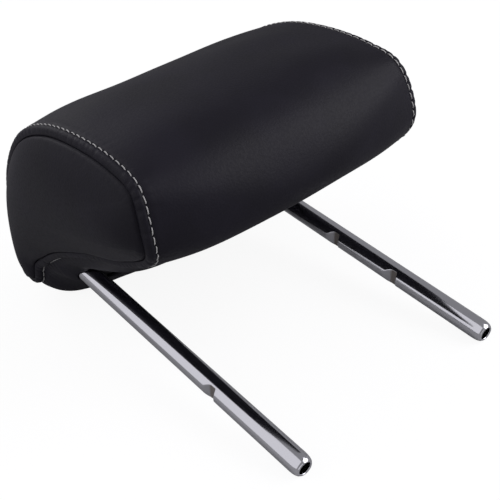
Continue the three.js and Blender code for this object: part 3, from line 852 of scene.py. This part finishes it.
class CushionSettings(bpy.types.PropertyGroup):
    stitch_half_width: FloatProperty(
        name="Half width", description="From the middle to the topstitch", default=93.5 * MM, unit="LENGTH")
    lip_extra_width: FloatProperty(
        name="Lip extra", description="How much wider the front lip is on each side", default=5 * MM,
        unit="LENGTH")
    top_squareness: FloatProperty(
        name="Top squareness", description="Power of the curve from the middle to the topstitch on top",
        default=4.0)
    lip_squareness: FloatProperty(
        name="Lip squareness", description="Power of the curve from the middle to the topstitch at the lip",
        default=2.0)
    underside_squareness: FloatProperty(
        name="Underside squareness",
        description="Power of the curve from the middle to the topstitch on the underside", default=6.3)
    heel_squareness: FloatProperty(
        name="Heel squareness", description="How much squarer the profile is at the heel", default=4.5)
    border_width: FloatProperty(
        name="Border width", description="Across, from the topstitch to the seam", default=4.5 * MM,
        unit="LENGTH")
    border_drop: FloatProperty(
        name="Border drop", description="Depth of the seam below the topstitch", default=4.5 * MM,
        unit="LENGTH")
    border_puff: FloatProperty(
        name="Border puff", description="Roundness of the border between stitch and seam",
        default=0.45 * MM, unit="LENGTH")
    seam_curl: FloatProperty(
        name="Seam curl", description="Radius at which the leather turns into the seam", default=0.8 * MM,
        unit="LENGTH")
    seam_tuck: FloatProperty(
        name="Seam tuck", description="How deep the end panel goes into the seam", default=2.2 * MM,
        unit="LENGTH")
    furrow: FloatProperty(
        name="Furrow", description="Depth of the furrow that the topstitch pulls", default=0.45 * MM,
        unit="LENGTH")
    needle_dip: FloatProperty(
        name="Needle dip", description="Extra depth at each needle hole", default=0.4 * MM, unit="LENGTH")
    pucker: FloatProperty(
        name="Gathers", description="Depth of the gathers on the border", default=0.23 * MM, unit="LENGTH")
    swell: FloatProperty(
        name="Swell", description="Slow unevenness of the padding", default=0.16 * MM, unit="LENGTH")
    crown: FloatProperty(
        name="Crown", description="Height of the end panels' crown", default=16.3 * MM, unit="LENGTH")
    crown_reach: FloatProperty(
        name="Crown reach", description="Depth at which the crown is level", default=52 * MM, unit="LENGTH")
    crown_power: FloatProperty(
        name="Crown power", description="How steeply the crown starts at the seam", default=3)
    slit_turn: FloatProperty(
        name="Slit turn", description="Slope of the underside at the closing slit",
        default=math.radians(-41.1), unit="ROTATION")
    leather: FloatProperty(
        name="Leather", description="Thickness of leather and backing", default=1.6 * MM, unit="LENGTH")
    dimple: FloatProperty(
        name="Dimple", description="How far the cover is drawn in round the posts", default=13 * MM,
        unit="LENGTH")
    dimple_reach: FloatProperty(
        name="Dimple reach", description="Reach of the dimple round a post", default=13.5 * MM, unit="LENGTH")
    dimple_x: FloatProperty(
        name="Dimple place", description="From the middle to the middle of a dimple", default=69.5 * MM,
        unit="LENGTH")
    dimple_z: FloatProperty(
        name="Dimple height", description="Of the middle of a dimple over the plane of the posts",
        default=6 * MM, unit="LENGTH")
    rim: FloatProperty(
        name="Rim", description="How far the cover stands up outside the posts", default=7 * MM,
        unit="LENGTH")
    rim_reach: FloatProperty(
        name="Rim reach", description="Reach of the rim", default=7 * MM, unit="LENGTH")
    rim_x: FloatProperty(
        name="Rim place", description="From the middle to the rim", default=86 * MM, unit="LENGTH")
    rim_z: FloatProperty(
        name="Rim height", description="Of the rim over the plane of the posts", default=-2 * MM,
        unit="LENGTH")
    corner: FloatProperty(
        name="Right corner", description="Extra fullness of the right lip's lower corner", default=5 * MM,
        unit="LENGTH")
    corner_reach: FloatProperty(
        name="Corner reach", description="Reach of the corner's fullness", default=22 * MM, unit="LENGTH")
    left_top: FloatProperty(
        name="Left top", description="Extra fullness of the top on the left", default=1.4 * MM,
        unit="LENGTH")
    slot_x: FloatProperty(
        name="Slot place", description="From the middle to the outer middle of a slot", default=76.9 * MM,
        unit="LENGTH")
    slot_radius: FloatProperty(
        name="Slot radius", description="Half width of the slots for the posts", default=8.5 * MM,
        unit="LENGTH")
    slot_reach: FloatProperty(
        name="Slot reach", description="How far a slot extends towards the middle", default=10 * MM,
        unit="LENGTH")


class PostSettings(bpy.types.PropertyGroup):
    spacing: FloatProperty(
        name="Spacing", description="Between the middles of the posts", default=155.5 * MM, unit="LENGTH")
    tube_radius: FloatProperty(
        name="Tube radius", description="Outer radius of the tube", default=7 * MM, unit="LENGTH")
    tip_radius: FloatProperty(
        name="Tip radius", description="Outer radius at the swaged tip", default=5.4 * MM, unit="LENGTH")
    tip_bore: FloatProperty(
        name="Tip bore", description="Radius of the hole in the tip", default=4.1 * MM, unit="LENGTH")
    tip_taper: FloatProperty(
        name="Tip taper", description="Length over which the tip narrows", default=7 * MM, unit="LENGTH")
    notch_depth: FloatProperty(
        name="Notch depth", description="Depth of the height notches", default=3.2 * MM, unit="LENGTH")
    notch_floor: FloatProperty(
        name="Notch floor", description="Length of a notch's flat floor", default=4 * MM, unit="LENGTH")


class StitchSettings(bpy.types.PropertyGroup):
    pitch: FloatProperty(
        name="Pitch", description="From one stitch to the next", default=5.8 * MM, unit="LENGTH")
    length: FloatProperty(
        name="Length", description="Seen length of one stitch", default=4.0 * MM, unit="LENGTH")
    thickness: FloatProperty(
        name="Thickness", description="Diameter of the thread", default=0.66 * MM, unit="LENGTH")


class FinishSettings(bpy.types.PropertyGroup):
    leather: FloatVectorProperty(
        name="Leather", description="Colour of the leather", default=(0.0102, 0.0090, 0.0152),
        subtype="COLOR", min=0, max=1)
    leather_rough: FloatProperty(
        name="Leather roughness", description="Dullness of the leather", default=0.5)
    thread: FloatVectorProperty(
        name="Thread", description="Colour of the topstitch", default=(0.60, 0.59, 0.58),
        subtype="COLOR", min=0, max=1)
    chrome: FloatVectorProperty(
        name="Chrome", description="Colour of the posts", default=(0.79, 0.79, 0.83), subtype="COLOR",
        min=0, max=1)
    foam: FloatVectorProperty(
        name="Foam", description="Colour of the padding", default=(0.05, 0.05, 0.052), subtype="COLOR",
        min=0, max=1)
    plastic: FloatVectorProperty(
        name="Plastic", description="Colour of core and closing strips", default=(0.012, 0.012, 0.013),
        subtype="COLOR", min=0, max=1)
    screw: FloatVectorProperty(
        name="Screws", description="Colour of the core's screws", default=(0.48, 0.49, 0.48),
        subtype="COLOR", min=0, max=1)


class StageSettings(bpy.types.PropertyGroup):
    camera_place: FloatVectorProperty(
        name="Camera place", description="Where the camera stands in the frame of the posts",
        default=(-0.29245, -0.22894, 0.42338), subtype="TRANSLATION")
    camera_turn: FloatVectorProperty(
        name="Camera turn", description="Degrees about x, y and z of the frame of the posts",
        default=(49.8408, 1.9487, -40.2073))
    camera_lens: FloatProperty(
        name="Lens", description="Focal length in millimetres over a 36 mm frame", default=66.768)
    floor_size: FloatProperty(
        name="Floor", description="Side of the floor", default=6.0, unit="LENGTH")
    world_light: FloatProperty(name="World light", description="Strength of the sky's light", default=0.25)


SETTINGS = {
    "headrest_cushion": CushionSettings,
    "headrest_posts": PostSettings,
    "headrest_stitches": StitchSettings,
    "headrest_finishes": FinishSettings,
    "headrest_stage": StageSettings,
}


# Operators

class HEADREST_OT_posts(bpy.types.Operator):
    """Build the chromed frame tube with its two posts, swaged tips and height notches"""

    bl_idname = "headrest.posts"
    bl_label = "Posts"

    def execute(self, context):
        scene = context.scene
        posts = scene.headrest_posts
        centres, ring, outer, inner, floors = post_rings(posts)
        outside = centres[:, None] + ring * outer[..., None]
        inside = (centres[:, None] + ring * inner[..., None])[1:-1][::-1]
        rows = np.concatenate([outside, inside])
        bare = np.concatenate([floors, np.zeros(inside.shape[:2])])
        quads = grid_quads(len(rows), rows.shape[1], wrap_rows=True, wrap_columns=True)
        tube = add_piece("posts", rows, quads, attributes=[("bare", bare)])
        dress(tube, polished("bright chrome", scene.headrest_finishes.chrome))
        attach(tube, "root")
        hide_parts("post_frame")
        return {"FINISHED"}


class HEADREST_OT_cover(bpy.types.Operator):
    """Build the leather cover: the wrapped centre panel with its post slots, and the two end panels"""

    bl_idname = "headrest.cover"
    bl_label = "Cover"

    def execute(self, context):
        scene = context.scene
        cushion, finishes = scene.headrest_cushion, scene.headrest_finishes
        skin = leather("black leather", finishes.leather, finishes.leather_rough)
        side, share, roll, curl = cover_profile(cushion)
        raised = cover_relief(cushion, scene.headrest_stitches, side, share, roll)
        smooth = cover_points(cushion, side, share, roll, curl)
        normals = surface_normals(smooth)
        outer = smooth + raised[..., None] * normals
        walled = np.flatnonzero(curl == 0)
        walled = np.unique(np.concatenate([walled[::6], walled[-1:]]))
        inner = (smooth - cushion.leather * normals)[walled[::-1]]
        rows = np.concatenate([outer, inner])
        quads = grid_quads(len(rows), AROUND, wrap_rows=True, wrap_columns=True)
        panel = add_piece("cover_centre", rows, quads)
        slit = box_cutter(SLIT_MIDDLE, math.pi + cushion.slit_turn, SLIT_SIZE)
        cut_away(panel, slot_cutter(cushion, LEFT), slot_cutter(cushion, RIGHT), slit)
        left = end_panel(cushion, LEFT, "cover_end_left")
        right = end_panel(cushion, RIGHT, "cover_end_right")
        nodes = ("cover_centre_panel", "cover_end_panel_left", "cover_end_panel_right")
        for piece, node in zip((panel, left, right), nodes):
            dress(piece, skin)
            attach(piece, "root")
            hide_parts(node)
        return {"FINISHED"}


class HEADREST_OT_topstitch(bpy.types.Operator):
    """Sew the white topstitch round both ends, stitch by stitch"""

    bl_idname = "headrest.topstitch"
    bl_label = "Topstitch"

    def execute(self, context):
        scene = context.scene
        cushion, stitches = scene.headrest_cushion, scene.headrest_stitches
        material = thread_finish("bonded thread", scene.headrest_finishes.thread)
        for side, name, node in (
            (LEFT, "stitches_left", "topstitch_left"), (RIGHT, "stitches_right", "topstitch_right"),
        ):
            piece = self.sew(cushion, stitches, side, name)
            dress(piece, material)
            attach(piece, "root")
            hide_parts(node)
        return {"FINISHED"}

    def sew(self, cushion, stitches, side, name):
        """Each stitch is a closed sleeve round an arc that comes out of one needle hole and goes into the
        next. Its middle line is height = top · (1 - |t|^3.2) - depth over t from -1.12 to 1.12, where depth
        sinks its ends into the furrow, and all stitches are set on the topstitch line by the outline's
        point, normal and direction at their middles."""
        random = np.random.default_rng(11 + side)
        count = stitch_count(stitches)
        pitch = OUTLINE.length / count
        middle = np.arange(count) * pitch
        middle = middle + random.normal(0, 0.12 * MM, count)
        at = np.mod(middle, OUTLINE.length) / OUTLINE.step
        low = np.floor(at).astype(int) % AROUND
        share = (at - np.floor(at))[:, None]

        def between(values):
            return values[low] * (1 - share) + values[(low + 1) % AROUND] * share

        point = between(OUTLINE.edge(cushion, side))
        normal = between(OUTLINE.normals)
        normal /= np.linalg.norm(normal, axis=1, keepdims=True)
        width = between(OUTLINE.half_width(cushion)[:, None])[:, 0]
        zero = np.zeros(count)
        centre = np.stack([side * width, point[:, 0], point[:, 1]], axis=-1)
        up = np.stack([zero, normal[:, 0], normal[:, 1]], axis=-1)
        along = np.stack([zero, -normal[:, 1], normal[:, 0]], axis=-1)
        out = np.array([1.0, 0.0, 0.0])
        slant = (side * math.radians(6) + random.normal(0, math.radians(2.5), count))[:, None]
        way = along * np.cos(slant) + out * np.sin(slant)
        cross = out * np.cos(slant) - along * np.sin(slant)
        radius = stitches.thickness / 2
        t = np.array([-1.12, -1.0, -0.85, -0.5, 0.0, 0.5, 0.85, 1.0, 1.12])
        height = radius * 1.35 * (1 - np.abs(t) ** 3.2) - 0.35 * cushion.furrow - 0.1 * MM
        run = t * stitches.length / 2
        thick = radius * np.array([0.75, 0.9, 1, 1, 1, 1, 1, 0.9, 0.75])
        angle = np.linspace(0, TAU, 7, endpoint=False)
        swelling = 1 + random.normal(0, 0.05, count)[:, None, None, None]
        ring = (
            cross[:, None, None] * np.cos(angle)[None, None, :, None] * 1.05
            + up[:, None, None] * np.sin(angle)[None, None, :, None] * 0.92
        ) * thick[None, :, None, None] * swelling
        line = centre[:, None] + way[:, None] * run[None, :, None] + up[:, None] * height[None, :, None]
        rings = line[:, :, None] + ring
        points = np.concatenate([rings.reshape(count, -1, 3), line[:, [0, -1]]], axis=1)
        start = (np.arange(count) * points.shape[1])[:, None, None]
        quads, tips = (
            (faces + start).reshape(-1, faces.shape[1]) for faces in sleeve_faces(len(t), len(angle))
        )
        twist = run[:, None] / (0.32 * MM) + 3 * angle[None]
        twist = np.concatenate([twist.ravel(), [0, 0]])
        return add_piece(name, points, quads, tips, attributes=[("twist", np.tile(twist, count))])


class HEADREST_OT_filling(bpy.types.Operator):
    """Build the foam pad and give the core, its screws and the closing strips their finishes"""

    bl_idname = "headrest.filling"
    bl_label = "Filling"

    def execute(self, context):
        scene = context.scene
        cushion, finishes = scene.headrest_cushion, scene.headrest_finishes
        inset = cushion.leather + PAD_CLEARANCE
        left = end_rings(cushion, LEFT, inset, fine=False)
        right = end_rings(cushion, RIGHT, inset, fine=False)
        half_share = np.array([0, 0.3, 0.5, 0.66, 0.8, 0.88, 0.95, 1, 1])
        share = np.concatenate([half_share[:0:-1], half_share])
        side = np.concatenate([np.full(len(half_share) - 1, LEFT), np.full(len(half_share), RIGHT)])
        half_roll = np.array([0] * (len(half_share) - 1) + [0.6]) * QUARTER
        roll = np.concatenate([half_roll[:0:-1], half_roll])
        strip = cover_points(cushion, side, share, roll, 0 * share)
        strip = strip - inset * surface_normals(strip)
        pad = add_sleeve("foam", np.concatenate([left[::-1], strip, right]))
        cut_away(pad, slot_cutter(cushion, LEFT), slot_cutter(cushion, RIGHT))
        dress(pad, open_foam("moulded foam", finishes.foam))
        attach(pad, "root")
        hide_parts("foam_pad")
        plastic = grained_plastic("black plastic", finishes.plastic, 0.5)
        screws = plated_steel("zinc-plated steel", finishes.screw)
        for name, node in frame["nodes"].items():
            if name.startswith(("core_front", "core_rear", "closure_")):
                dress(node, plastic)
            elif name.startswith("core_screw"):
                dress(node, screws)
        return {"FINISHED"}


class HEADREST_OT_stage(bpy.types.Operator):
    """Set up the floor, the lights, the world and the camera"""

    bl_idname = "headrest.stage"
    bl_label = "Stage"

    def execute(self, context):
        scene = context.scene
        stage = scene.headrest_stage
        self.add_floor(stage)
        self.add_world(scene, stage)
        for lamp in LAMPS:
            self.add_lamp(*lamp)
        data = bpy.data.cameras.new("camera")
        data.lens = stage.camera_lens
        data.sensor_width = 36.0
        data.clip_start = 0.01
        camera = bpy.data.objects.new("camera", data)
        turn = Euler([math.radians(angle) for angle in stage.camera_turn]).to_matrix()
        turn = AXES.T @ np.array(turn)
        spot = place(stage.camera_place)
        camera.matrix_world = Matrix.Translation(spot) @ Matrix(turn.tolist()).to_4x4()
        scene.collection.objects.link(camera)
        scene.camera = camera
        scene.view_settings.view_transform = "Standard"
        return {"FINISHED"}

    def add_floor(self, stage):
        """A level square under the headrest that the camera sees as white, with the object's shadow."""
        half = stage.floor_size / 2
        corners = [(-half, -half, 0), (half, -half, 0), (half, half, 0), (-half, half, 0)]
        mesh = bpy.data.meshes.new("floor")
        mesh.from_pydata(corners, [], [(0, 1, 2, 3)])
        floor = bpy.data.objects.new("floor", mesh)
        bpy.context.scene.collection.objects.link(floor)
        finish = Finish("pale floor")
        seen = finish.node("ShaderNodeLightPath", {}, {}).outputs["Is Camera Ray"]
        share = finish.value("ShaderNodeMath", {"operation": "MULTIPLY"}, {0: seen, 1: FLOOR_GLOW_SHARE})
        matte = finish.node("ShaderNodeBsdfDiffuse", {}, {"Color": FLOOR_GREY}).outputs[0]
        white = finish.node("ShaderNodeEmission", {}, {"Color": WHITE, "Strength": FLOOR_GLOW}).outputs[0]
        mixed = finish.node("ShaderNodeMixShader", {}, {0: share, 1: matte, 2: white}).outputs[0]
        finish.tree.links.new(mixed, finish.output.inputs["Surface"])
        dress(floor, finish.material)

    def add_world(self, scene, stage):
        world = bpy.data.worlds.new("studio")
        world.use_nodes = True
        scene.world = world
        tree = world.node_tree
        tree.nodes.clear()
        output = tree.nodes.new("ShaderNodeOutputWorld")
        sky = tree.nodes.new("ShaderNodeBackground")
        seen = tree.nodes.new("ShaderNodeBackground")
        path = tree.nodes.new("ShaderNodeLightPath")
        mix = tree.nodes.new("ShaderNodeMixShader")
        sky.inputs["Color"].default_value = SKY_COLOUR
        sky.inputs["Strength"].default_value = stage.world_light
        seen.inputs["Color"].default_value = WHITE
        seen.inputs["Strength"].default_value = 1.0
        tree.links.new(path.outputs["Is Camera Ray"], mix.inputs[0])
        tree.links.new(sky.outputs[0], mix.inputs[1])
        tree.links.new(seen.outputs[0], mix.inputs[2])
        tree.links.new(mix.outputs[0], output.inputs["Surface"])

    def add_lamp(self, name, spot, size, power):
        """A square soft light at a spot, turned to the middle of the cushion."""
        data = bpy.data.lights.new(name, "AREA")
        data.shape = "SQUARE"
        data.size = size
        data.energy = power
        data.color = LAMP_COLOUR
        lamp = bpy.data.objects.new(name, data)
        toward = np.array(spot) - LAMP_TARGET
        toward /= np.linalg.norm(toward)
        sideways = np.cross([0.0, 0.0, 1.0], toward)
        sideways /= np.linalg.norm(sideways)
        turn = np.column_stack([sideways, np.cross(toward, sideways), toward])
        lamp.matrix_world = Matrix.Translation(spot) @ Matrix(turn.tolist()).to_4x4()
        bpy.context.scene.collection.objects.link(lamp)


OPERATORS = (
    HEADREST_OT_posts,
    HEADREST_OT_cover,
    HEADREST_OT_topstitch,
    HEADREST_OT_filling,
    HEADREST_OT_stage,
)


class HEADREST_PT_panel(bpy.types.Panel):
    bl_label = "Headrest"
    bl_idname = "HEADREST_PT_panel"
    bl_space_type = "VIEW_3D"
    bl_region_type = "UI"
    bl_category = "Headrest"

    def draw(self, context):
        for label, group in SETTINGS.items():
            column = self.layout.column()
            for name in group.__annotations__:
                column.prop(getattr(context.scene, label), name)
        for operator in OPERATORS:
            self.layout.operator(operator.bl_idname)


def register():
    for group in (*SETTINGS.values(), *OPERATORS, HEADREST_PT_panel):
        bpy.utils.register_class(group)
    for label, group in SETTINGS.items():
        setattr(bpy.types.Scene, label, PointerProperty(type=group))


def unregister():
    for label in SETTINGS:
        delattr(bpy.types.Scene, label)
    for group in reversed((*SETTINGS.values(), *OPERATORS, HEADREST_PT_panel)):
        bpy.utils.unregister_class(group)


def main():
    register()
    bpy.ops.headrest.posts()
    bpy.ops.headrest.cover()
    bpy.ops.headrest.topstitch()
    bpy.ops.headrest.filling()
    bpy.ops.headrest.stage()


if __name__ == "__main__":
    main()
